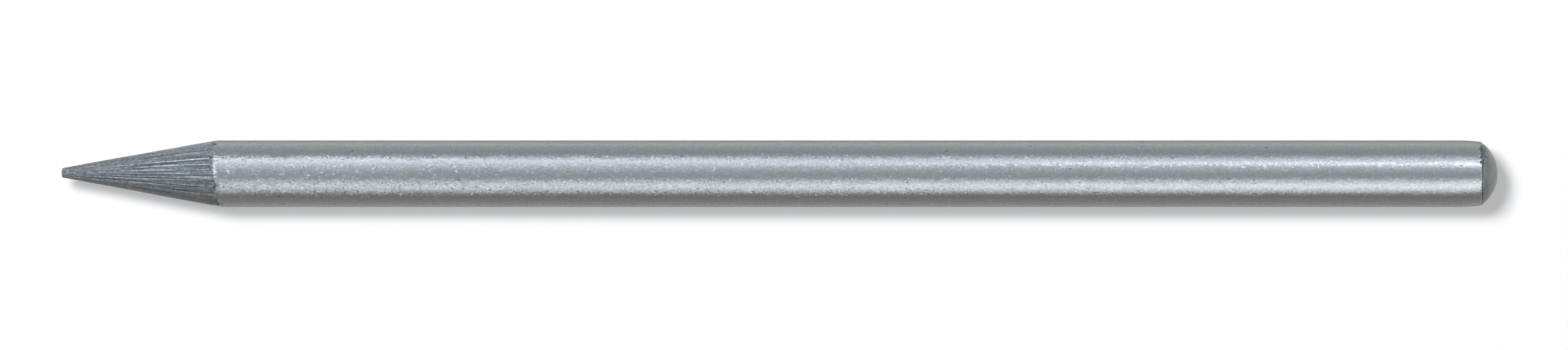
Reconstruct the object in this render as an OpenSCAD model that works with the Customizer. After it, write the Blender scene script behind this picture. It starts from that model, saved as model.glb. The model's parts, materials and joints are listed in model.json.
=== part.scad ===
// Woodless pencil: a solid coloured core in a thin lacquered jacket, sharpened at one end.
// It lies along X with its point towards -X. The origin is under its middle, on the surface
// that it lies on.

/* [Barrel] */
// Length from the worn tip to the top of the domed end
pencil_length = 153; // [100:1:180]
// Diameter over the lacquer
barrel_d = 7.1; // [6.5:0.1:9]

/* [Point] */
// Full angle of the sharpened cone, in degrees
point_angle = 20.5; // [16:0.5:26]
// Diameter of the worn tip
tip_d = 1.04; // [0.5:0.02:2]
// Height of the rounded crown on the worn tip
tip_crown = 0.16; // [0.06:0.02:0.24]

/* [Coats] */
// Thickness of the dark primer on the core
primer_t = 0.04; // [0.04:0.01:0.1]
// Thickness of the silver lacquer on the primer
lacquer_t = 0.06; // [0.04:0.01:0.12]
// Thickness of the dip film on the domed end
dip_t = 0.05; // [0.04:0.01:0.1]

/* [Domed end] */
// Length over which the barrel rolls in to its rim
roll_length = 2.4; // [1:0.1:4]
// Radius of the arc that the barrel rolls in along
roll_radius = 16; // [12:0.5:40]
// Height of the dome above the rim
dome_h = 1.64; // [0.6:0.02:2.4]

/* [Hidden] */
$fn = 96;

barrel_r = barrel_d / 2;
tip_r = tip_d / 2;
coats_t = primer_t + lacquer_t;
core_r = barrel_r - coats_t;

// Distances along the pencil, from the tip
rim_x = pencil_length - dome_h;
roll_x = rim_x - roll_length;

// The half sections below are drawn as [radius, distance from the tip].

// Distance from the tip at which the sharpened cone reaches a radius
function cone_x(r) = tip_crown + (r - tip_r) / tan(point_angle / 2);

// Radius of the rim, at a depth below the lacquer's surface
function rim_r(depth) = barrel_r - roll_radius + sqrt((roll_radius - depth) ^ 2 - roll_length ^ 2);

// Radius of the sphere that a cap of a given base radius and height is cut from
function cap_radius(base_r, height) = (base_r ^ 2 + height ^ 2) / (2 * height);

// The dome springs from the core's rim, with the film as its outer surface.
dome_radius = cap_radius(rim_r(coats_t), dome_h);
tip_radius = cap_radius(tip_r, tip_crown);

// Turns a half section about the pencil's axis and lays the pencil down.
module turned() {
    translate([-pencil_length / 2, 0, barrel_r])
        rotate([0, 90, 0])
            rotate_extrude()
                children();
}

// Disc whose edge is the rolled end at a depth below the lacquer's surface
module roll_disc(depth) {
    translate([barrel_r - roll_radius, roll_x])
        circle(roll_radius - depth);
}

// Band that holds the rolled end, from where it starts to the rim
module roll_band() {
    translate([0, roll_x])
        square([barrel_d, roll_length]);
}

// Disc whose edge is the dome at a depth below the film's surface
module dome_disc(depth) {
    translate([0, pencil_length - dome_radius])
        circle(dome_radius - depth);
}

// Half section beyond the rim
module dome_band() {
    translate([0, rim_x])
        square([barrel_d, pencil_length]);
}

// Half section of one coat, between two depths below the lacquer's surface.
// The sharpened cone cuts its front end, and its back end stops flat at the rim.
module coat_section(top, bottom) {
    top_r = barrel_r - top;
    bottom_r = barrel_r - bottom;
    polygon([
        [bottom_r, cone_x(bottom_r)],
        [top_r, cone_x(top_r)],
        [top_r, roll_x],
        [bottom_r, roll_x]
    ]);
    intersection() {
        roll_band();
        difference() {
            roll_disc(top);
            roll_disc(bottom);
        }
    }
}

// The worn tip's crown
module crown_section() {
    intersection() {
        square([tip_r, tip_crown]);
        translate([0, tip_radius])
            circle(tip_radius);
    }
}

// The solid stick: worn tip, sharpened cone, barrel, and a dome behind a narrow shoulder
module core() {
    color("slategray")
        turned() {
            crown_section();
            polygon([
                [0, tip_crown],
                [tip_r, tip_crown],
                [core_r, cone_x(core_r)],
                [core_r, roll_x],
                [0, roll_x]
            ]);
            intersection() {
                roll_band();
                roll_disc(coats_t);
            }
            intersection() {
                dome_band();
                dome_disc(dip_t);
            }
        }
}

// Dark coat that keys the lacquer to the core
module barrel_primer() {
    color("dimgray")
        turned()
            coat_section(lacquer_t, coats_t);
}

// Metallic coat that makes the outer surface
module barrel_lacquer() {
    color("silver")
        turned()
            coat_section(0, lacquer_t);
}

// Film over the dome, standing on the core's shoulder
module end_dip() {
    color("darkgray")
        turned()
            intersection() {
                dome_band();
                difference() {
                    dome_disc(0);
                    dome_disc(dip_t);
                }
            }
}

core();
barrel_primer();
barrel_lacquer();
end_dip();
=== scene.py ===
import json
import math

import bpy
import numpy as np
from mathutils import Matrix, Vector


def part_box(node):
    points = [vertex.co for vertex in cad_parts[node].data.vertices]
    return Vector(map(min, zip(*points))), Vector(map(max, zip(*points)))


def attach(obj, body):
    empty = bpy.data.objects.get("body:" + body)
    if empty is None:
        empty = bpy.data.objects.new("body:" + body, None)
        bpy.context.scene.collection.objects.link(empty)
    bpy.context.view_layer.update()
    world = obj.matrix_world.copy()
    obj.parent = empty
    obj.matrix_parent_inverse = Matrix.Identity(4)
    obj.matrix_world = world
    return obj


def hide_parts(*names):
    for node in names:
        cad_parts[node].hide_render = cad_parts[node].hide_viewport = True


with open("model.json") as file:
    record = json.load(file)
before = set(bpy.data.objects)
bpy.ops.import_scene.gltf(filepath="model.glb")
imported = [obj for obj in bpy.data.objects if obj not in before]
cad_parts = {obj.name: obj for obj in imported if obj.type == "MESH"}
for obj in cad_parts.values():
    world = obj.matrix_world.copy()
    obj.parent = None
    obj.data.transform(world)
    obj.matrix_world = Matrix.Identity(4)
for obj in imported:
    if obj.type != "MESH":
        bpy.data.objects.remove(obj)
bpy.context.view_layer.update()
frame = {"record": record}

MM = 0.001
TAU = 2 * math.pi

rng = np.random.default_rng(seed=13)

# Places and sizes taken from the frame
barrel_mount = frame["record"]["mounts"][0]
BARREL_R = barrel_mount["dims"]["r_mm"] * MM
AXIS_Z = barrel_mount["pos_m"][2]


def node_radius(node):
    """Largest radius of a turned CAD node, from the height of its box."""
    low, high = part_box(node)
    return (high.z - low.z) / 2


CORE_R = node_radius("core")
PRIMER_R = node_radius("barrel_primer")
DOME_RIM_R = node_radius("end_dip")
TIP_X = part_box("core")[0].x
END_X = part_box("end_dip")[1].x
RIM_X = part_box("barrel_lacquer")[1].x
LACQUER_CUT_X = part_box("barrel_lacquer")[0].x

# Sizes that the boxes don't give, as in the solids
POINT_HALF_ANGLE = math.radians(10.25)
TIP_CROWN = 0.16 * MM
ROLL_LENGTH = 2.4 * MM
ROLL_RADIUS = 16 * MM
DIP_T = 0.05 * MM

# Sizes that follow from these. DOME_EDGE is the angle of the dome's edge from the axis, at its centre
CONE_SLOPE = math.tan(POINT_HALF_ANGLE)
TIP_R = PRIMER_R - (LACQUER_CUT_X - TIP_X - TIP_CROWN) * CONE_SLOPE
ROLL_X = RIM_X - ROLL_LENGTH
COAT_LENGTH = RIM_X - LACQUER_CUT_X
DOME_H = END_X - RIM_X
DOME_RADIUS = (DOME_RIM_R**2 + DOME_H**2) / (2 * DOME_H)
DOME_EDGE = math.asin(DOME_RIM_R / DOME_RADIUS)

# How far the sharpened cone runs off the pencil's axis: to one side at the tip and at the cut line,
# and upwards at the cut line
TIP_OFFSET = 0.09 * MM
CUT_OFFSET = 0.052 * MM
CUT_RISE = 0.08 * MM

# Angles round the axis at which every ring has a point: 0 faces +Y and a quarter turn faces up
RING_POINTS = 600
ANGLES = np.arange(RING_POINTS) * TAU / RING_POINTS

# An edge that turns by more than this stays crisp
SHARP_EDGE = math.radians(45)


# Meshes made of rings round the pencil's axis


def add_object(name, data):
    """A new object in the scene for a mesh, a lamp or a camera."""
    made = bpy.data.objects.new(name, data)
    bpy.context.collection.objects.link(made)
    return made


def all_round(values):
    """The same value at every angle of each ring."""
    return np.repeat(np.array(values)[:, None], RING_POINTS, axis=1)


def ring_mesh(name, x, r, ends=None):
    """A closed mesh from rings of points round the axis.

    x and r hold one row for each ring and one column for each angle. With ends, a pair of places
    on the axis, the first and last rings close in a point there. Without, the last ring joins the
    first, as round the wall of a tube.
    """
    rings = len(r)
    points = np.stack([x, r * np.cos(ANGLES), AXIS_Z + r * np.sin(ANGLES)], axis=-1)
    verts = points.reshape(-1, 3)
    here = np.arange(RING_POINTS)
    after = np.roll(here, -1)
    faces = []
    for i in range(rings - 1 if ends else rings):
        this_ring = i * RING_POINTS
        next_ring = (i + 1) % rings * RING_POINTS
        corners = [this_ring + here, this_ring + after, next_ring + after, next_ring + here]
        faces += np.stack(corners, axis=-1).tolist()
    if ends:
        verts = np.vstack([verts, [(end, 0, AXIS_Z) for end in ends]])
        first_pole = rings * RING_POINTS
        last_ring = first_pole - RING_POINTS
        for i, j in zip(here.tolist(), after.tolist()):
            faces.append((first_pole, j, i))
            faces.append((first_pole + 1, last_ring + i, last_ring + j))
    mesh = bpy.data.meshes.new(name)
    mesh.from_pydata(verts.tolist(), [], faces)
    mesh.validate()
    mesh.shade_smooth()
    mesh.set_sharp_from_angle(angle=SHARP_EDGE)
    return add_object(name, mesh)


def store(piece, name, values):
    """Keeps one number for each ring point as a named attribute that the material can read."""
    mesh = piece.data
    flat = np.zeros(len(mesh.vertices), np.float32)
    flat[: values.size] = values.ravel()
    mesh.attributes.new(name, "FLOAT", "POINT").data.foreach_set("value", flat)


# A ragged line is a sum of waves: how many of the longest go round the axis, and the power by which
# shorter ones are lower
FEWEST_WAVES = 3
WAVE_POWER = 0.6


def ragged(finest, amplitude):
    """Random ragged line round the axis, with detail down to the finest width at the barrel's radius."""
    line = np.zeros(RING_POINTS)
    for waves in range(FEWEST_WAVES, int(TAU * BARREL_R / finest)):
        line += rng.normal() * np.cos(waves * ANGLES + rng.uniform(0, TAU)) / waves**WAVE_POWER
    return line * amplitude / line.std()


def turn_apart(angle, centre):
    """Signed angle from a centre, the short way round."""
    return (angle - centre + math.pi) % TAU - math.pi


def hump(centre, width):
    """1 at an angle round the axis, falling away on both sides to almost 0 at twice that width."""
    return np.exp(-((turn_apart(ANGLES, centre) / width) ** 2))


# How flat the bottom of a chip is: 2 gives a round hollow, and more gives steeper sides
CHIP_POWER = 4


def notches(places):
    """Depth of chips along an edge. Each place is (angle in degrees, width, depth)."""
    depth = np.zeros(RING_POINTS)
    for degrees, width, deepest in places:
        off = turn_apart(ANGLES, math.radians(degrees)) * BARREL_R / (width / 2)
        depth = np.maximum(depth, deepest * np.clip(1 - off**CHIP_POWER, 0, None))
    return depth


# The surface that the sharpener leaves, shared by the core and by the cut edges of the coats

# Rings along the sharpened surface, and how far past the cut line it is worked out
CONE_RINGS = 128
CUT_MARGIN = 1.3 * MM
CONE_LENGTH = LACQUER_CUT_X + CUT_MARGIN - TIP_X

# Scratches of each kind: count, then the least and most of their length, width and depth
SCORE_KINDS = [
    (30, (7 * MM, 14 * MM), (0.07 * MM, 0.11 * MM), (0.025 * MM, 0.045 * MM)),
    (70, (4 * MM, 12 * MM), (0.05 * MM, 0.09 * MM), (0.02 * MM, 0.045 * MM)),
    (260, (0.6 * MM, 3.5 * MM), (0.05 * MM, 0.08 * MM), (0.008 * MM, 0.024 * MM)),
]

# The depth and height at which scratches that meet level off
DEEP_SCORE = 0.036 * MM

# A random share, up to this and raised to this power, sets how far from the thick end of the cone the
# middle of a scratch lies
SCORE_FARTHEST = 0.9
SCORE_CROWDING = 1.5

# The power by which a scratch fades out towards its ends
SCORE_ENDS = 0.7

# The burr beside a scratch: how many widths away it stands, and its height as a share of the depth
BURR_AWAY = 1.7
BURR_HEIGHT = 1.0

# How far scratches stray from straight, in radians per metre
SCORE_SLANT = 2.0

# Scratches are shallower at the cut line, by a fade over this length to this share
SCORE_FADE = 1.5 * MM
SCORE_AT_CUT = 0.45

# Sides of the cone that are left smoother, by their angle and width, and the share of the scratches'
# depth that is left there
SMOOTH_SIDES = [(math.radians(32), math.radians(18)), (math.radians(155), math.radians(26))]
SCORE_WHERE_SMOOTH = 0.35


def score(x, length, width, depth):
    """Height of one scratch along the cone, at a random place, with a burr along one side of it."""
    middle = TIP_X + CONE_LENGTH * (1 - rng.uniform(0, SCORE_FARTHEST) ** SCORE_CROWDING)
    centre = rng.uniform(0, TAU) + rng.normal() * SCORE_SLANT * (x - middle)
    burr_side = rng.choice([-BURR_AWAY, BURR_AWAY])
    fade = np.clip(1 - ((x - middle) / (length / 2)) ** 2, 0, 1) ** SCORE_ENDS
    across = turn_apart(ANGLES, centre[:, None]) * BARREL_R / width
    profile = BURR_HEIGHT * np.exp(-((across - burr_side) ** 2)) - np.exp(-(across**2))
    return depth * fade[:, None] * profile


def all_scores(x):
    """Height of all the scratches along the cone, which levels off where they meet."""
    height = np.zeros((x.size, RING_POINTS))
    for count, *ranges in SCORE_KINDS:
        for _ in range(count):
            length, width, depth = (rng.uniform(*limits) for limits in ranges)
            height += score(x, length, width, depth)
    shallower = np.interp(x, [LACQUER_CUT_X - SCORE_FADE, LACQUER_CUT_X], [1, SCORE_AT_CUT])
    smooth = sum(hump(side, width) for side, width in SMOOTH_SIDES)
    share = shallower[:, None] * (1 - (1 - SCORE_WHERE_SMOOTH) * smooth)
    return share * DEEP_SCORE * np.tanh(height / DEEP_SCORE)


def cone_radius(x):
    """Radius of the cone, which stands slightly off centre, about the pencil's axis."""
    share = ((x - TIP_X) / (LACQUER_CUT_X - TIP_X))[:, None]
    straight = (PRIMER_R + (x - LACQUER_CUT_X) * CONE_SLOPE)[:, None]
    sideways = (TIP_OFFSET + (CUT_OFFSET - TIP_OFFSET) * share) * np.cos(ANGLES)
    upwards = CUT_RISE * share * np.sin(ANGLES)
    return straight + sideways + upwards


cut_x = np.linspace(TIP_X + TIP_CROWN, TIP_X + CONE_LENGTH, CONE_RINGS)
score_height = all_scores(cut_x)
cut_r = cone_radius(cut_x) + score_height


def cut_place(radius):
    """Where along X the sharpened surface reaches a radius, at each angle."""
    rising = np.maximum.accumulate(cut_r, axis=0)
    return np.array([np.interp(radius, rising[:, j], cut_x) for j in range(RING_POINTS)])


# The barrel and the dome, shared by the core and its coats


def barrel_radius(x, depth):
    """Radius of the barrel and its rolled end at a depth below the lacquer's surface."""
    past = np.clip(x - ROLL_X, 0, ROLL_LENGTH)
    return BARREL_R - ROLL_RADIUS + np.sqrt((ROLL_RADIUS - depth) ** 2 - past**2)


# Where the ring next to the dome's top lies, as a share of the angle to the dome's edge
DOME_TOP_RING = 0.03


def dome_rings(radius, edge, count):
    """Places and radii of rings on a sphere about the dome's centre, from an edge to near its top.

    edge is the edge's angle from the axis, one for each angle round it.
    """
    angle = np.linspace(1, DOME_TOP_RING, count)[:, None] * edge
    centre = END_X - DOME_RADIUS
    return centre + radius * np.cos(angle), radius * np.sin(angle)


# The core

# How far a hidden face stays clear of the face that covers it
HIDDEN_GAP = 0.004 * MM

# The worn tip's rings and roundness: 1 gives half an ellipse across the tip, and less a squarer edge
CROWN_RINGS = 7
CROWN_ROUNDING = 0.9

# Where the barrel's hidden rings begin behind the cone, and where the last but one is before the rim
BODY_AFTER_CONE = 0.5 * MM
BODY_BEFORE_RIM = 0.3 * MM

# The domed end's rings, and its raw surface beside the rim: how wide and how rough it is
END_RINGS = 16
RAW_WIDTH = 0.9 * MM
RAW_NOISE = 0.005 * MM


def make_core():
    """The coloured stick: worn tip, scored cone, hidden barrel and the end under the dip film."""
    turn = np.linspace(0, math.pi / 2, CROWN_RINGS + 2)[1:-1]
    share = np.sin(turn) ** CROWN_ROUNDING
    crown_x = TIP_X + TIP_CROWN * (1 - np.cos(turn) ** CROWN_ROUNDING)
    crown_r = all_round(share) * (TIP_R + TIP_OFFSET * np.cos(ANGLES))
    roll_middle = ROLL_X + ROLL_LENGTH / 2
    body_x = [cut_x[-1] + BODY_AFTER_CONE, ROLL_X, roll_middle, RIM_X - BODY_BEFORE_RIM, RIM_X]
    body_r = barrel_radius(np.array(body_x), BARREL_R - CORE_R + HIDDEN_GAP)
    end_x, end_r = dome_rings(DOME_RADIUS - DIP_T, np.full(RING_POINTS, DOME_EDGE), END_RINGS)
    raw = np.clip(1 - (end_x - RIM_X) / RAW_WIDTH, 0, 1)
    end_r = end_r + raw * rng.normal(0, RAW_NOISE, end_r.shape)
    x = np.vstack([all_round(crown_x), all_round(cut_x), all_round(body_x), end_x])
    r = np.vstack([crown_r, np.minimum(cut_r, CORE_R - HIDDEN_GAP), all_round(body_r), end_r])
    piece = ring_mesh("pencil_core", x, r, ends=(TIP_X, END_X - DIP_T))
    # The material turns these heights into painted shade in the grooves and painted highlights on the
    # burrs
    scored = np.zeros_like(r)
    scored[CROWN_RINGS : CROWN_RINGS + CONE_RINGS] = score_height / DEEP_SCORE
    store(piece, "scored", scored)
    return piece


# The coats on the barrel

# How a coat is rounded off at the rim: over this length, by this share of its thickness
RIM_ROUND = 0.3 * MM
RIM_THINNING = 0.95

# Shares of a coat's length at which its rings lie near the rim and along its underside
RIM_RINGS = 8
NEAR_RIM = 1 - np.linspace(1, 0, RIM_RINGS) ** 2 * RIM_ROUND / COAT_LENGTH
UNDERSIDE = np.array([1, 0.99, 0.5, 0.02, 0])


def coat_rings(along, depths, fronts, rear):
    """Rings round the wall of one coat: along its top from the cut to the rim, and back inside.

    depths and fronts are pairs for the coat's top and its underside. The top is rounded off at the rim.
    """
    top_x = fronts[0] + (rear - fronts[0]) * along[:, None]
    near_rim = np.clip(1 - (rear - top_x) / RIM_ROUND, 0, 1)
    rounding = RIM_THINNING * (depths[1] - depths[0]) * (1 - np.sqrt(1 - near_rim**2))
    top_r = barrel_radius(top_x, depths[0] + rounding)
    bottom_x = fronts[1] + (rear - fronts[1]) * UNDERSIDE[:, None]
    bottom_r = barrel_radius(bottom_x, depths[1])
    return np.vstack([top_x, bottom_x]), np.vstack([top_r, bottom_r])


# How far the primer stops short of the rim, the finest width and the depth of its ragged edge there,
# and the shares of its length at which its other rings lie
PRIMER_SHORT = 0.01 * MM
PRIMER_EDGE = (0.3 * MM, 0.01 * MM)
PRIMER_RINGS = [0, 0.0001, 0.01, 0.5, 0.99]


def make_primer():
    """The dark coat on the core, cut by the sharpener and ragged at the rim."""
    depths = (BARREL_R - PRIMER_R + HIDDEN_GAP, BARREL_R - CORE_R)
    fronts = (cut_place(PRIMER_R - HIDDEN_GAP), cut_place(CORE_R))
    rear = RIM_X - PRIMER_SHORT - np.abs(ragged(*PRIMER_EDGE))
    along = np.concatenate([PRIMER_RINGS, NEAR_RIM])
    x, r = coat_rings(along, depths, fronts, rear)
    piece = ring_mesh("barrel_primer_coat", x, r)
    # Its top shows only where the lacquer has come off
    bared = np.zeros_like(r)
    bared[1 : along.size] = 1
    store(piece, "bared", bared)
    return piece


# Chips in the lacquer at the cut and at the rim: angle in degrees, width, depth
CUT_CHIPS = [(26, 0.6 * MM, 0.34 * MM), (196, 0.9 * MM, 0.5 * MM), (280, 0.7 * MM, 0.4 * MM)]
RIM_CHIPS = [
    (31, 0.5 * MM, 0.14 * MM),
    (41, 0.75 * MM, 0.24 * MM),
    (50, 0.35 * MM, 0.34 * MM),
    (57, 0.6 * MM, 0.2 * MM),
    (68, 0.3 * MM, 0.14 * MM),
    (205, 0.8 * MM, 0.2 * MM),
    (300, 0.6 * MM, 0.16 * MM),
]

# Flakes off the cut: the finest width and the height of the ragged line that they come from, and how high
# that line has to rise to be a flake
FLAKE_LINE = (0.14 * MM, 0.1 * MM)
FLAKE_LEAST = 0.06 * MM

# Where the cut through the lacquer is most ragged, and the share of their length that flakes gain there
FRAYED_SIDE = math.radians(150)
FRAYED_WIDTH = math.radians(25)
FRAYED_MORE = 2

# How the depth of the rim's chips varies along them: the finest width and the amount of the change,
# and the least and most that a depth is multiplied by
CHIP_EDGE = (0.12 * MM, 0.4)
CHIP_LIMITS = (0.2, 1.5)

# The finest width and the depth of the ragged rim
RIM_EDGE = (0.25 * MM, 0.02 * MM)

# Shares of the lacquer's length at which its rings lie: close together at the cut, then evenly spaced
LACQUER_CUT_RINGS = np.linspace(0, 0.012, 8)
LACQUER_RINGS = np.linspace(0.02, 0.99, 117)

# The lacquer's own unevenness: waves along the barrel and round it
SWELL_WAVES = 40
SWELL_LENGTH = 9 * MM
SWELL_WIDTH = 1.6 * MM
SWELL_HEIGHT = 0.0012 * MM


def lacquer_swell(x):
    """Smooth random swell over the barrel, in long waves along X and short ones round it."""
    swell = np.zeros(x.shape)
    most_turns = TAU * BARREL_R / SWELL_WIDTH
    for _ in range(SWELL_WAVES):
        along = rng.normal() * TAU / SWELL_LENGTH
        turns = round(rng.uniform(-most_turns, most_turns))
        swell += np.cos(along * x + turns * ANGLES + rng.uniform(0, TAU))
    return swell * SWELL_HEIGHT * math.sqrt(2 / SWELL_WAVES)


def make_lacquer():
    """The silver coat: a ragged, chipped cut at the front and a worn, chipped rim at the back."""
    flakes = np.clip(ragged(*FLAKE_LINE) - FLAKE_LEAST, 0, None)
    longer = 1 + FRAYED_MORE * hump(FRAYED_SIDE, FRAYED_WIDTH)
    chips = notches(CUT_CHIPS) + flakes * longer
    fronts = (cut_place(BARREL_R) + chips, cut_place(PRIMER_R) + chips)
    varied = np.clip(1 + ragged(*CHIP_EDGE), *CHIP_LIMITS)
    rear = RIM_X - notches(RIM_CHIPS) * varied - np.abs(ragged(*RIM_EDGE))
    along = np.concatenate([LACQUER_CUT_RINGS, LACQUER_RINGS, NEAR_RIM])
    x, r = coat_rings(along, (0, BARREL_R - PRIMER_R), fronts, rear)
    top = slice(along.size)
    swell = lacquer_swell(x[top])
    r[top] += swell - swell.max()
    return ring_mesh("barrel_lacquer_coat", x, r)


# The film on the domed end

# Rings over the film and under it
FILM_RINGS = 26
UNDER_RINGS = 6

# How far the film's edge tapers all round, and how much farther on the bare side
FILM_LIP = 0.01 * MM
FILM_FEATHER = 0.25 * MM

# The side where the film stops farthest from the rim, and how narrow that side is
BARE_SIDE = math.radians(45)
BARE_POWER = 4

# How far from the rim the film stops there, the finest width and the depth of its ragged edge, and the
# share of that distance that is bare all round
BARE_WIDTH = 0.34 * MM
BARE_EDGE = (0.2 * MM, 0.08 * MM)
LEAST_BARE = 0.15

# How thin the film is at its edge away from the bare side, as a share, and how far the thinness reaches
LEAST_THIN = 0.3
THIN_REACH = 0.6 * MM


def make_dip():
    """The film on the domed end. It stops short of the rim, most on one side, where the raw end shows."""
    short_side = (0.5 + 0.5 * np.cos(ANGLES - BARE_SIDE)) ** BARE_POWER
    bare_share = LEAST_BARE + (1 - LEAST_BARE) * short_side
    bare = np.clip(bare_share * (BARE_WIDTH + ragged(*BARE_EDGE)), 0, None)
    edge = DOME_EDGE - bare / DOME_RADIUS
    taper = (FILM_LIP + short_side * FILM_FEATHER) / DOME_RADIUS
    inner_x, inner_r = dome_rings(DOME_RADIUS - DIP_T, edge, UNDER_RINGS)
    middle_x, middle_r = dome_rings(DOME_RADIUS - DIP_T / 2, edge - taper / 2, 1)
    outer_x, outer_r = dome_rings(DOME_RADIUS, edge - taper, FILM_RINGS)
    x = np.vstack([inner_x[::-1], middle_x, outer_x])
    r = np.vstack([inner_r[::-1], middle_r, outer_r])
    piece = ring_mesh("domed_end_dip", x, r, ends=(END_X - DIP_T, END_X))
    edge_ring = UNDER_RINGS - 1
    thin_share = LEAST_THIN + (1 - LEAST_THIN) * short_side
    thin = np.zeros_like(r)
    thin[edge_ring:] = thin_share * np.exp((x[edge_ring] - x[edge_ring:]) / THIN_REACH)
    store(piece, "thin", thin)
    return piece


# Steps that the materials are made of


def add_node(tree, kind, inputs=None, **settings):
    """A new shader node. Each input is a constant or another node's output to link from."""
    made = tree.nodes.new(kind)
    for name, value in settings.items():
        setattr(made, name, value)
    for name, value in (inputs or {}).items():
        if isinstance(value, bpy.types.NodeSocket):
            tree.links.new(value, made.inputs[name])
        else:
            made.inputs[name].default_value = value
    return made


def new_material(name, **sockets):
    """A material with one Principled surface, whose constant sockets are set by name."""
    material = bpy.data.materials.new(name)
    material.use_nodes = True
    surface = material.node_tree.nodes["Principled BSDF"]
    for socket, value in sockets.items():
        surface.inputs[socket.replace("_", " ")].default_value = value
    return material, material.node_tree, surface


def connect(tree, surface, colour, roughness, normal):
    """Links what varies over a surface to its sockets."""
    tree.links.new(colour, surface.inputs["Base Color"])
    tree.links.new(roughness, surface.inputs["Roughness"])
    tree.links.new(normal, surface.inputs["Normal"])


def place(tree, stretch=1.0):
    """Object coordinates in metres, with features drawn out along the pencil by stretch."""
    coords = add_node(tree, "ShaderNodeTexCoord").outputs["Object"]
    return add_node(
        tree, "ShaderNodeMapping", {"Vector": coords, "Scale": (1 / stretch, 1, 1)}
    ).outputs["Vector"]


def coordinate(tree, axis):
    """One of the object coordinates in metres."""
    return add_node(tree, "ShaderNodeSeparateXYZ", {0: place(tree)}).outputs[axis]


def stored(tree, name):
    """A number that the mesh keeps as a named attribute."""
    return add_node(tree, "ShaderNodeAttribute", attribute_name=name).outputs["Fac"]


def noise(tree, vector, size, detail=2.0):
    """Noise from 0 to 1 with features of about that size in the vector's units."""
    return add_node(
        tree, "ShaderNodeTexNoise", {"Vector": vector, "Scale": 1 / size, "Detail": detail}
    ).outputs["Fac"]


# How far the cells of a pattern are drawn out along the pencil
CELL_STRETCH = 1.5


def cells(tree, size, output):
    """An output of a pattern of random cells of about that size in metres."""
    return add_node(
        tree, "ShaderNodeTexVoronoi", {"Vector": place(tree, CELL_STRETCH), "Scale": 1 / size}
    ).outputs[output]


# Most of a noise's values lie between these
NOISE_LOW = 0.3
NOISE_HIGH = 0.7


def remap(tree, value, to, over=(NOISE_LOW, NOISE_HIGH)):
    """Carries a value from one range, over, to another, to, and keeps it within that."""
    limits = {"From Min": over[0], "From Max": over[1], "To Min": to[0], "To Max": to[1]}
    return add_node(tree, "ShaderNodeMapRange", {"Value": value, **limits}).outputs["Result"]


def math_node(tree, operation, a, b):
    """One arithmetic step."""
    return add_node(tree, "ShaderNodeMath", {0: a, 1: b}, operation=operation).outputs[0]


def vector_math(tree, operation, a, b=(0, 0, 0)):
    """One arithmetic step on vectors."""
    return add_node(tree, "ShaderNodeVectorMath", {0: a, 1: b}, operation=operation).outputs[0]


def vector_sum(tree, first, *others):
    """The sum of vectors."""
    total = first
    for vector in others:
        total = vector_math(tree, "ADD", total, vector)
    return total


def ramp(tree, value, *stops):
    """Colours along a value. Each stop is (place, colour)."""
    made = add_node(tree, "ShaderNodeValToRGB", {"Fac": value})
    elements = made.color_ramp.elements
    while len(elements) < len(stops):
        elements.new(0.5)
    for element, (at, colour) in zip(elements, stops):
        element.position = at
        element.color = (*colour, 1)
    return made.outputs["Color"]


# A mix node has sockets of the same names for each kind of value. These are its colour sockets
MIX_SHARE = 0
MIX_A = 6
MIX_B = 7
MIX_RESULT = 2


def mix(tree, share, a, b):
    """Colour a blended towards colour b by a share from 0 to 1."""
    inputs = {MIX_SHARE: share, MIX_A: a, MIX_B: b}
    return add_node(tree, "ShaderNodeMix", inputs, data_type="RGBA").outputs[MIX_RESULT]


def multiply(tree, vector, value):
    """A colour or another vector, scaled by a number or by another colour."""
    return vector_math(tree, "MULTIPLY", vector, value)


def bump(tree, height, distance, normal=None):
    """Surface normal tilted by a height from 0 to 1 that stands for that distance."""
    inputs = {"Height": height, "Distance": distance, "Strength": 1.0}
    if normal:
        inputs["Normal"] = normal
    return add_node(tree, "ShaderNodeBump", inputs).outputs["Normal"]


def lean(tree, stretch, size, amount):
    """Random lean to add to the surface normal, in soft patches of about that size."""
    patches = add_node(
        tree, "ShaderNodeTexNoise", {"Vector": place(tree, stretch), "Scale": 1 / size, "Detail": 1.0}
    ).outputs["Color"]
    centred = vector_math(tree, "SUBTRACT", patches, (0.5, 0.5, 0.5))
    return vector_math(tree, "MULTIPLY", centred, (amount, amount, amount))


def streaks(tree, fineness, length):
    """Noise in straight streaks along the cone, which follows the direction from the axis, and X."""
    coords = place(tree)
    from_axis = vector_math(tree, "SUBTRACT", coords, (0, 0, AXIS_Z))
    flat = vector_math(tree, "MULTIPLY", from_axis, (0, 1, 1))
    direction = vector_math(tree, "NORMALIZE", flat)
    turned = vector_math(tree, "MULTIPLY", direction, (fineness, fineness, fineness))
    along = vector_math(tree, "MULTIPLY", coords, (1 / length, 0, 0))
    return noise(tree, vector_math(tree, "ADD", turned, along), size=1.0, detail=3)


# Materials

SILVER_DIM = (0.36, 0.385, 0.385)
SILVER_BRIGHT = (0.385, 0.41, 0.41)
SILVER_GRAZING = (0.45, 0.47, 0.45, 1)

# How coarse the lacquer's surface is at the tip's end of the pencil and at the domed end
COARSE_AT_TIP = 1.08
COARSE_AT_END = 0.48


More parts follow.
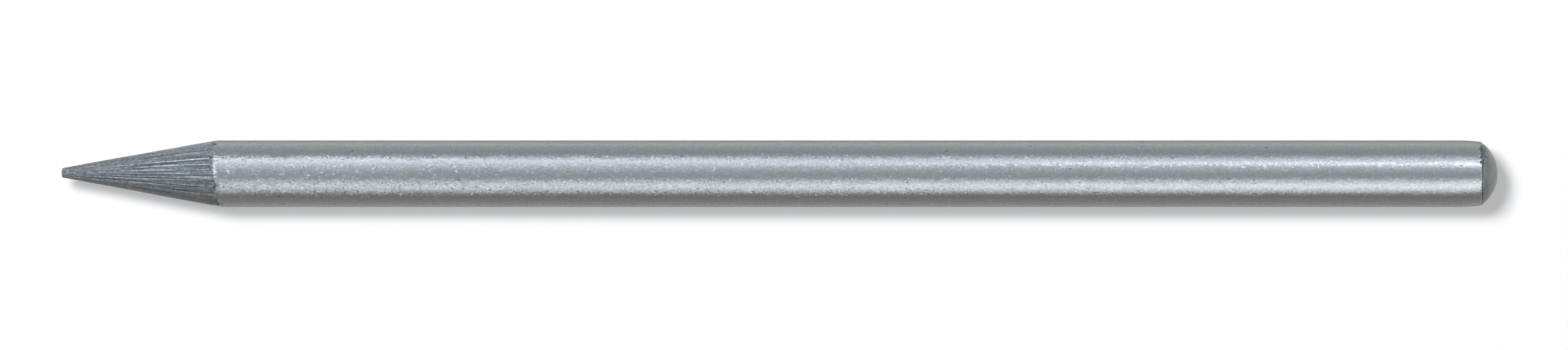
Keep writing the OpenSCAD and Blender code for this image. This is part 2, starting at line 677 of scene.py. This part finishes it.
def lacquer_material():
    """Satin silver lacquer: metal pigment, orange peel, slow swell and gritty patches, and small dark dots
    of painted shade for a few pits.
    """
    material, tree, surface = new_material("silver_lacquer", Metallic=1.0, Specular_Tint=SILVER_GRAZING)
    clump = noise(tree, place(tree, stretch=2), size=0.2 * MM)
    fleck = noise(tree, place(tree, stretch=1.2), size=0.2 * MM, detail=1)
    # Small dark dots: painted shade for pits, with no dent in the surface
    painted_pit_shade = remap(tree, cells(tree, 2 * MM, "Distance"), to=(0.45, 1), over=(0.03, 0.06))
    shade = math_node(tree, "MULTIPLY", remap(tree, fleck, to=(0.93, 1.07)), painted_pit_shade)
    colour = ramp(tree, clump, (NOISE_LOW, SILVER_DIM), (NOISE_HIGH, SILVER_BRIGHT))
    pigment = lean(tree, stretch=1.2, size=0.2 * MM, amount=0.13)
    peel = lean(tree, stretch=1.5, size=0.26 * MM, amount=0.2)
    swell = lean(tree, stretch=2.5, size=0.9 * MM, amount=0.09)
    patches = noise(tree, place(tree, stretch=1.4), size=0.4 * MM)
    gritty = remap(tree, patches, to=(0, 1), over=(0.48, 0.65))
    grit = multiply(tree, lean(tree, stretch=1.2, size=0.17 * MM, amount=0.92), gritty)
    leaning = vector_sum(tree, pigment, peel, swell, grit)
    coarse = remap(tree, coordinate(tree, "X"), to=(COARSE_AT_TIP, COARSE_AT_END), over=(TIP_X, END_X))
    smooth = add_node(tree, "ShaderNodeNewGeometry").outputs["Normal"]
    uneven = vector_sum(tree, smooth, multiply(tree, leaning, coarse))
    connect(
        tree,
        surface,
        colour=multiply(tree, colour, shade),
        roughness=remap(tree, clump, to=(0.26, 0.22)),
        normal=vector_math(tree, "NORMALIZE", uneven),
    )
    return material


# Colours of the core, from the bottom of a scratch to the top of its burr: the darkest is painted shade in
# the groove and the palest a painted highlight on the burr
CORE_TONES_AND_PAINTED_SCORE_LIGHT = [
    (0.0, (0.058, 0.066, 0.07)),
    (0.3, (0.103, 0.118, 0.125)),
    (0.5, (0.174, 0.199, 0.213)),
    (0.7, (0.252, 0.288, 0.307)),
    (1.0, (0.58, 0.63, 0.66)),
]

# How much a scratch shifts the colour, beside the streaks: painted shade in its groove and a painted
# highlight on its burr
PAINTED_SCORE_LIGHT = 0.4

RAW_END_DARK = (0.06, 0.07, 0.09)
RAW_END_PALE = (0.21, 0.245, 0.28)
RAW_END_BLEND = 0.1 * MM


def core_material():
    """Waxy blue-grey core with a faint metal sheen, streaked and scored along the cone, raw at the end.
    Its colour holds painted shade in the scratches' grooves, painted highlights on their burrs and glints
    painted on pigment flecks.
    """
    material, tree, surface = new_material("core", Metallic=0.55)
    streak = streaks(tree, fineness=22, length=5 * MM)
    fine_streak = streaks(tree, fineness=70, length=2 * MM)
    grit = noise(tree, place(tree, stretch=1.5), size=0.24 * MM, detail=3)
    # Pigment flecks, painted bright as glints
    flecks_and_glints = remap(tree, cells(tree, 0.14 * MM, "Color"), to=(0, 0.7), over=(0.7, 1.0))
    grit_and_glints = math_node(tree, "ADD", remap(tree, grit, to=(0.6, 1.28)), flecks_and_glints)
    # Painted shade and painted highlight from each scratch's height
    scored = math_node(tree, "MULTIPLY", stored(tree, "scored"), PAINTED_SCORE_LIGHT)
    shade = math_node(tree, "ADD", streak, scored)
    cone_colour = multiply(tree, ramp(tree, shade, *CORE_TONES_AND_PAINTED_SCORE_LIGHT), grit_and_glints)
    mottle = noise(tree, place(tree), size=0.3 * MM, detail=4)
    raw_colour = ramp(tree, mottle, (0.35, RAW_END_DARK), (0.65, RAW_END_PALE))
    raw_end = remap(tree, coordinate(tree, "X"), to=(0, 1), over=(RIM_X - RAW_END_BLEND, RIM_X))
    grooved = bump(tree, fine_streak, distance=0.02 * MM)
    connect(
        tree,
        surface,
        colour=mix(tree, raw_end, cone_colour, raw_colour),
        roughness=remap(tree, streak, to=(0.46, 0.36)),
        normal=bump(tree, grit, distance=0.02 * MM, normal=grooved),
    )
    return material


PRIMER_DARK = (0.06, 0.057, 0.055)
PRIMER_CUT = (0.2, 0.23, 0.255)


def primer_material():
    """Matt primer: grey and dark in patches where it is cut, dark where the lacquer has come off it."""
    material, tree, surface = new_material("primer")
    patch = noise(tree, place(tree), size=0.5 * MM, detail=4)
    grain = noise(tree, place(tree), size=0.1 * MM, detail=4)
    cut_colour = ramp(tree, patch, (0.4, PRIMER_DARK), (0.5, PRIMER_CUT))
    colour = mix(tree, stored(tree, "bared"), cut_colour, (*PRIMER_DARK, 1))
    connect(
        tree,
        surface,
        colour=multiply(tree, colour, remap(tree, grain, to=(0.7, 1.2))),
        roughness=remap(tree, grain, to=(0.75, 0.55)),
        normal=bump(tree, grain, distance=0.02 * MM),
    )
    return material


FILM_DIM = (0.22, 0.25, 0.235)
FILM_BRIGHT = (0.28, 0.315, 0.295)

# The colour that shows through where the film is thin
FILM_EDGE = (0.08, 0.096, 0.122)

# Where painted light starts to make the film paler towards the dome's top, and where it is palest
PAINTED_LIGHT_FROM_X = RIM_X + 0.4 * MM
PAINTED_LIGHT_FULL_X = END_X - 0.3 * MM


def dip_material():
    """Satin grey-green film with faint clouds and dust, paler at the top by painted light, smudged where
    it is thin.
    """
    material, tree, surface = new_material("end_dip", Metallic=0.25, Specular_IOR_Level=0.45)
    cloud = noise(tree, place(tree), size=1.2 * MM, detail=4)
    dust = noise(tree, place(tree), size=0.09 * MM, detail=3)
    film = ramp(tree, cloud, (NOISE_LOW, FILM_DIM), (NOISE_HIGH, FILM_BRIGHT))
    patches = noise(tree, place(tree), size=0.35 * MM, detail=3)
    blotch = remap(tree, patches, to=(0.1, 0.9), over=(0.42, 0.56))
    smudge = math_node(tree, "MULTIPLY", stored(tree, "thin"), blotch)
    colour = mix(tree, smudge, film, (*FILM_EDGE, 1))
    # Painted light that makes the film paler towards the dome's top
    paler = remap(tree, coordinate(tree, "X"), to=(0.95, 1.22), over=(PAINTED_LIGHT_FROM_X, PAINTED_LIGHT_FULL_X))
    shade = math_node(tree, "MULTIPLY", paler, remap(tree, dust, to=(0.92, 1.06)))
    connect(
        tree,
        surface,
        colour=multiply(tree, colour, shade),
        roughness=remap(tree, cloud, to=(0.48, 0.38)),
        normal=bump(tree, dust, distance=0.004 * MM),
    )
    return material


def dress(piece, material, node):
    """Gives a piece its material, hides the CAD node that it stands for, and hangs it on the root body."""
    piece.data.materials.append(material)
    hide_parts(node)
    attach(piece, "root")


dress(make_core(), core_material(), "core")
dress(make_primer(), primer_material(), "barrel_primer")
dress(make_lacquer(), lacquer_material(), "barrel_lacquer")
dress(make_dip(), dip_material(), "end_dip")


# Floor and surroundings

# The floor: half its width, its white, and the share and tint of the white that is its own glow
FLOOR_HALF = 1.5
FLOOR_WHITE = (0.95, 0.95, 0.95, 1)
FLOOR_GLOW = 0.41
FLOOR_GLOW_TINT = (0.98, 0.986, 1, 1)

# The even light for what scatters, and the walls that reflections show
AMBIENT = 0.09
AMBIENT_TINT = (1, 0.97, 0.95, 1)
LOWER_WALL = (0.375, 0.345, 0.325)
OVERHEAD = (0.65, 0.66, 0.7)
UPPER_WALL = (0.54, 0.55, 0.59)


def add_sheet(name, corners):
    """A flat sheet between four corners."""
    mesh = bpy.data.meshes.new(name)
    mesh.from_pydata(corners, [], [(0, 1, 2, 3)])
    return add_object(name, mesh)


def seen_directly(tree):
    """1 for rays from the camera or off a glossy or clear surface, 0 for scattered light."""
    path = add_node(tree, "ShaderNodeLightPath").outputs
    seen = math_node(tree, "MAXIMUM", path["Is Camera Ray"], path["Is Glossy Ray"])
    return math_node(tree, "MAXIMUM", seen, path["Is Transmission Ray"])


def make_floor():
    """Plain white floor that the pencil lies on. A share of its white doesn't depend on the light."""
    corners = [(-1, -1), (1, -1), (1, 1), (-1, 1)]
    floor = add_sheet("floor", [(x * FLOOR_HALF, y * FLOOR_HALF, 0) for x, y in corners])
    material, tree, surface = new_material(
        "floor", Base_Color=FLOOR_WHITE, Roughness=0.9, Specular_IOR_Level=0.0
    )
    share = math_node(tree, "MULTIPLY", seen_directly(tree), FLOOR_GLOW)
    glow = add_node(tree, "ShaderNodeEmission", {"Color": FLOOR_GLOW_TINT}).outputs[0]
    both = add_node(tree, "ShaderNodeMixShader", {0: share, 1: surface.outputs[0], 2: glow}).outputs[0]
    tree.links.new(both, tree.nodes["Material Output"].inputs["Surface"])
    floor.data.materials.append(material)


def make_world():
    """Studio surroundings: pale overhead, dimmer to the sides, and an even dim light for what scatters."""
    world = bpy.data.worlds.new("studio")
    world.use_nodes = True
    tree = world.node_tree
    even = tree.nodes["Background"]
    even.inputs["Color"].default_value = AMBIENT_TINT
    even.inputs["Strength"].default_value = AMBIENT
    direction = add_node(tree, "ShaderNodeTexCoord").outputs["Generated"]
    side = add_node(tree, "ShaderNodeSeparateXYZ", {0: direction}).outputs["Y"]
    share = remap(tree, side, to=(0, 1), over=(-1, 1))
    walls = ramp(tree, share, (0.0, LOWER_WALL), (0.5, OVERHEAD), (1.0, UPPER_WALL))
    studio = add_node(tree, "ShaderNodeBackground", {"Color": walls}).outputs[0]
    both = add_node(tree, "ShaderNodeMixShader", {0: seen_directly(tree), 1: even.outputs[0], 2: studio})
    tree.links.new(both.outputs[0], tree.nodes["World Output"].inputs["Surface"])
    bpy.context.scene.world = world


# Lamps

# The lamp that throws the shadow
KEY_PLACE = (-0.63, 0.57, 1.84)
KEY_SIZE = (0.62, 0.62)
KEY_POWER = 47.6
KEY_LIGHT = (0.98, 0.989, 1)

# The lamps that show as highlights
SOFTBOX_AWAY = 0.5
SOFTBOX_LENGTH = 1.2
COOL_LIGHT = (0.86, 0.9, 1)
PLAIN_LIGHT = (0.907, 0.935, 1)


def make_lamp(name, spot, size, power):
    """Area lamp aimed at the middle of the pencil, with its long side along X."""
    data = bpy.data.lights.new(name, "AREA")
    data.shape = "RECTANGLE"
    data.size, data.size_y = size
    data.energy = power
    lamp = add_object(name, data)
    lamp.location = spot
    lamp.rotation_euler = (Vector((0, 0, AXIS_Z)) - Vector(spot)).to_track_quat("-Z", "Y").to_euler()
    return lamp


def softbox(name, radiance, colour, across, along):
    """Long lamp beside the pencil that shows only as a highlight.

    across gives its level at angles from straight above, in degrees, from its outer edge to its inner
    one. along gives its level at places along X. The lamp's own long axis runs with X on the lower side
    of the pencil and against it on the upper one.
    """
    outer, inner = across[0][0], across[-1][0]
    middle = (outer + inner) / 2
    side = math.copysign(1, middle)
    half_width = math.tan(math.radians(abs(outer - inner) / 2))
    tilt = math.radians(middle)
    spot = (0, SOFTBOX_AWAY * math.sin(tilt), AXIS_Z + SOFTBOX_AWAY * math.cos(tilt))
    size = (SOFTBOX_LENGTH, 2 * SOFTBOX_AWAY * half_width)
    lamp = make_lamp(name, spot, size, radiance * math.pi * size[0] * size[1])
    lamp.visible_diffuse = False
    lamp.data.color = colour
    lamp.data.use_nodes = True
    tree = lamp.data.node_tree
    parametric = add_node(tree, "ShaderNodeNewGeometry").outputs["Parametric"]
    split = add_node(tree, "ShaderNodeSeparateXYZ", {0: parametric}).outputs
    long_stops = sorted((0.5 - side * x / SOFTBOX_LENGTH, (level,) * 3) for x, level in along)
    wide_stops = []
    for degrees, level in across:
        share = math.tan(math.radians(degrees - middle)) / half_width
        wide_stops.append((0.5 - side * share / 2, (level,) * 3))
    glow = multiply(tree, ramp(tree, split[0], *long_stops), ramp(tree, split[1], *wide_stops))
    tree.links.new(glow, tree.nodes["Emission"].inputs["Color"])


def make_lamps():
    """A soft lamp for the shadow, long softboxes for the barrel's highlights, a panel for the cone's."""
    key = make_lamp("key", KEY_PLACE, KEY_SIZE, KEY_POWER)
    key.data.color = KEY_LIGHT
    key.visible_glossy = False
    softbox(
        "upper_softbox",
        radiance=1.0,
        colour=COOL_LIGHT,
        across=[(70, 0), (62, 0.2), (54, 0.7), (48, 0.9), (37, 1), (29, 0.64), (18, 0.36), (4, 0)],
        along=[(-0.08, 1), (0.08, 1)],
    )
    softbox(
        "upper_front_tube",
        radiance=1.89,
        colour=COOL_LIGHT,
        across=[(56, 0), (50, 1), (46, 1), (40, 0)],
        along=[(-0.1, 1), (0.01, 0)],
    )
    softbox(
        "upper_rear_tube",
        radiance=2.75,
        colour=COOL_LIGHT,
        across=[(42, 0), (36, 1), (32, 1), (26, 0)],
        along=[(0.01, 0), (0.1, 1)],
    )
    softbox(
        "lower_softbox",
        radiance=1.98,
        colour=PLAIN_LIGHT,
        across=[
            (-74, 0), (-68, 0.42), (-58, 0.58), (-52, 0.95),
            (-42, 1), (-32, 0.62), (-24, 0.46), (-17, 0),
        ],
        along=[(-0.25, 0), (0.08, 1)],
    )
    softbox(
        "front_panel",
        radiance=2.0,
        colour=COOL_LIGHT,
        across=[(28, 0), (18, 1), (-10, 1), (-16, 0)],
        along=[(-0.42, 0), (-0.32, 1), (-0.2, 1), (-0.13, 0)],
    )


# Reflecting cards

# Where the long cards end on both sides, and where the one beside the cone ends, before the cut line
CARD_END = SOFTBOX_LENGTH / 2
POINT_CARD_END = LACQUER_CUT_X - 0.5 * MM

# How far up a card its shade changes, as a share of its height
CARD_FADE = 0.85


def make_card(name, ends, y, tall, top_grey, foot_grey):
    """Low card along the pencil, paler towards the floor, that only reflections show."""
    corners = [(ends[0], 0), (ends[1], 0), (ends[1], tall), (ends[0], tall)]
    card = add_sheet(name, [(x, y, z) for x, z in corners])
    card.visible_camera = False
    card.visible_diffuse = False
    card.visible_shadow = False
    material, tree, _ = new_material(name)
    share = remap(tree, coordinate(tree, "Z"), to=(0, 1), over=(0, tall))
    grey = ramp(tree, share, (0, foot_grey), (CARD_FADE, top_grey))
    glow = add_node(tree, "ShaderNodeEmission", {"Color": grey}).outputs[0]
    tree.links.new(glow, tree.nodes["Material Output"].inputs["Surface"])
    card.data.materials.append(material)


def make_cards():
    """One long card on each side of the pencil, and a nearer one on the cone's lower side."""
    make_card(
        "upper_card",
        ends=(-CARD_END, CARD_END),
        y=14 * MM,
        tall=9.5 * MM,
        top_grey=(0.555, 0.565, 0.6),
        foot_grey=(0.85, 0.86, 0.88),
    )
    make_card(
        "lower_card",
        ends=(-CARD_END, CARD_END),
        y=-7.8 * MM,
        tall=7.1 * MM,
        top_grey=(0.378, 0.345, 0.335),
        foot_grey=(0.7, 0.71, 0.655),
    )
    make_card(
        "point_card",
        ends=(-CARD_END, POINT_CARD_END),
        y=-4.6 * MM,
        tall=6 * MM,
        top_grey=(0.42, 0.365, 0.335),
        foot_grey=(0.53, 0.465, 0.435),
    )


# Camera

# The photograph's size, and where the pencil lies in it
PHOTO_WIDTH_PX = 2370
PHOTO_HEIGHT_PX = 529
PHOTO_TIP_PX = 93.1
PHOTO_END_PX = 2263.7
PHOTO_AXIS_PX = 262.4
CAMERA_HEIGHT = 0.8


def make_camera():
    """Straight down on the pencil, framed as in the photograph."""
    scale = (END_X - TIP_X) / (PHOTO_END_PX - PHOTO_TIP_PX)
    data = bpy.data.cameras.new("camera")
    data.type = "ORTHO"
    data.ortho_scale = PHOTO_WIDTH_PX * scale
    camera = add_object("camera", data)
    camera.location = (
        TIP_X + (PHOTO_WIDTH_PX / 2 - PHOTO_TIP_PX) * scale,
        -(PHOTO_HEIGHT_PX / 2 - PHOTO_AXIS_PX) * scale,
        CAMERA_HEIGHT,
    )
    bpy.context.scene.camera = camera


make_floor()
make_world()
make_lamps()
make_cards()
make_camera()
bpy.context.scene.view_settings.view_transform = "Standard"
